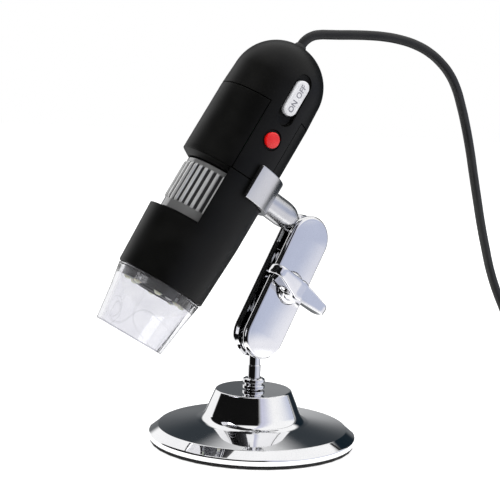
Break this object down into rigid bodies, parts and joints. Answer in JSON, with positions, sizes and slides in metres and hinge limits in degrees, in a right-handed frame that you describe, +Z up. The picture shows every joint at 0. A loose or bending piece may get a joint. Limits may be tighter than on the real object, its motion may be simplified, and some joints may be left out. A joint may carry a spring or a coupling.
{
  "type": "usb digital microscope on a stand",
  "caption": "Handheld digital microscope with a clear nose cap, lamp ring and focus ring, clipped to a ball-jointed chrome arm on a round weighted base.",
  "frame": {"origin": "centre of the stand base's underside", "axes": "+Z up, +X to the right and +Y away from someone who sees the microscope lean left, as in the picture"},
  "size_m": [0.199, 0.0952, 0.1431],
  "materials": {
    "chrome": "mirror-bright plating",
    "steel": "plain bright steel",
    "cast_iron": "rough casting",
    "satin_clip": "soft-bright plating",
    "black_soft": "rubber-painted, fine matte",
    "black_plastic": "fine moulded",
    "black_rubber": "smooth",
    "ring_metal": "bright ribbed",
    "clear_plastic": "clear, polished",
    "lens_glass": "coated",
    "lamp_resin": "domed resin",
    "board_grey": "lacquered board",
    "board_green": "lacquered board",
    "red_plastic": "gloss",
    "white_plastic": "gloss",
    "pad_foam": "closed foam"
  },
  "bodies": {
    "base": {"base_pad": "pad_foam", "base_dish": "chrome", "base_weight": "cast_iron", "usb_cable_coil": "black_rubber", "usb_cable_tail": "black_rubber", "usb_plug_body": "black_plastic", "usb_plug_shell": "steel", "usb_plug_tongue": "white_plastic"},
    "lower_stud": {"lower_ball_stud": "chrome", "stem_collar": "chrome", "stem_nut": "steel"},
    "arm": {"arm_rear_shell": "chrome", "clamp_nut": "steel"},
    "front_shell": {"arm_front_shell": "chrome"},
    "wing_bolt": {"wing_bolt": "chrome"},
    "upper_stud": {"upper_ball_stud": "chrome"},
    "clip": {"clip_band": "satin_clip", "clip_boss": "satin_clip"},
    "microscope": {"lower_body": "black_soft", "upper_sleeve": "black_soft", "top_cap": "black_soft", "chassis": "black_plastic", "lamp_board": "board_grey", "lamp_1": "lamp_resin", "lamp_2": "lamp_resin", "lamp_3": "lamp_resin", "lamp_4": "lamp_resin", "lamp_5": "lamp_resin", "lamp_6": "lamp_resin", "lamp_7": "lamp_resin", "lamp_8": "lamp_resin", "board_screw_1": "steel", "board_screw_2": "steel", "sensor_board": "board_green", "image_sensor": "black_plastic", "main_board": "board_green", "snapshot_switch": "steel", "lamp_switch_body": "steel", "cable_clamp": "black_rubber", "usb_cable": "black_rubber"},
    "focus_ring": {"focus_ring": "ring_metal"},
    "lens_carriage": {"lens_barrel": "black_plastic", "objective_lens": "lens_glass", "lens_retainer": "black_plastic"},
    "snapshot_button": {"snapshot_button": "red_plastic"},
    "lamp_switch": {"lamp_switch_knob": "white_plastic"},
    "nose_cap": {"nose_cap": "clear_plastic"}
  },
  "joints": [
    {"name": "stem_swivel", "type": "hinge", "parent": "base", "child": "lower_stud", "pos_m": [0, 0, 0.0187], "axis": [0, 0, 1], "continuous": true},
    {"name": "lower_tilt", "type": "hinge", "parent": "lower_stud", "child": "arm", "pos_m": [0, 0, 0.0352], "axis": [-0.6088, 0.7934, 0], "range_deg": [-10, 25], "deforming": ["usb_cable"]},
    {"name": "clamp_open", "type": "slide", "parent": "arm", "child": "front_shell", "axis": [0.6088, -0.7934, 0], "range_m": [0, 0.0008]},
    {"name": "wing_bolt_turn", "type": "hinge", "parent": "front_shell", "child": "wing_bolt", "pos_m": [0.00835, 0.00641, 0.05395], "axis": [0.6088, -0.7934, 0], "range_deg": [0, 360]},
    {"name": "upper_tilt", "type": "hinge", "parent": "arm", "child": "upper_stud", "pos_m": [0.0167, 0.01281, 0.0727], "axis": [-0.6088, 0.7934, 0], "range_deg": [-8, 20]},
    {"name": "clip_turn", "type": "hinge", "parent": "upper_stud", "child": "clip", "pos_m": [0.0085, 0.00652, 0.0788], "axis": [0.6833, 0.5243, -0.5081], "range_deg": [-25, 25]},
    {"name": "microscope_slide", "type": "slide", "parent": "clip", "child": "microscope", "axis": [0.4695, 0.2175, 0.8557], "range_m": [-0.003, 0.018]},
    {"name": "focus_turn", "type": "hinge", "parent": "microscope", "child": "focus_ring", "pos_m": [-0.01743, -0.01172, 0.08416], "axis": [0.4695, 0.2175, 0.8557], "range_deg": [0, 300]},
    {"name": "lens_focus", "type": "slide", "parent": "microscope", "child": "lens_carriage", "axis": [0.4695, 0.2175, 0.8557], "range_m": [0, 0.006]},
    {"name": "snapshot_press", "type": "slide", "parent": "microscope", "child": "snapshot_button", "axis": [-0.4975, 0.8658, 0.0528], "range_m": [0, 0.0005], "stiffness_N_per_m": 2500},
    {"name": "lamp_switch_slide", "type": "slide", "parent": "microscope", "child": "lamp_switch", "axis": [-0.4695, -0.2175, -0.8557], "range_m": [0, 0.003]},
    {"name": "nose_cap_pull", "type": "slide", "parent": "microscope", "child": "nose_cap", "axis": [-0.4695, -0.2175, -0.8557], "range_m": [0, 0.005]}
  ],
  "couplings": [
    {"joint": "clamp_open", "follows": "wing_bolt_turn", "m_per_rad": 0.0001273},
    {"joint": "lens_focus", "follows": "focus_turn", "m_per_rad": 0.0011459}
  ]
}
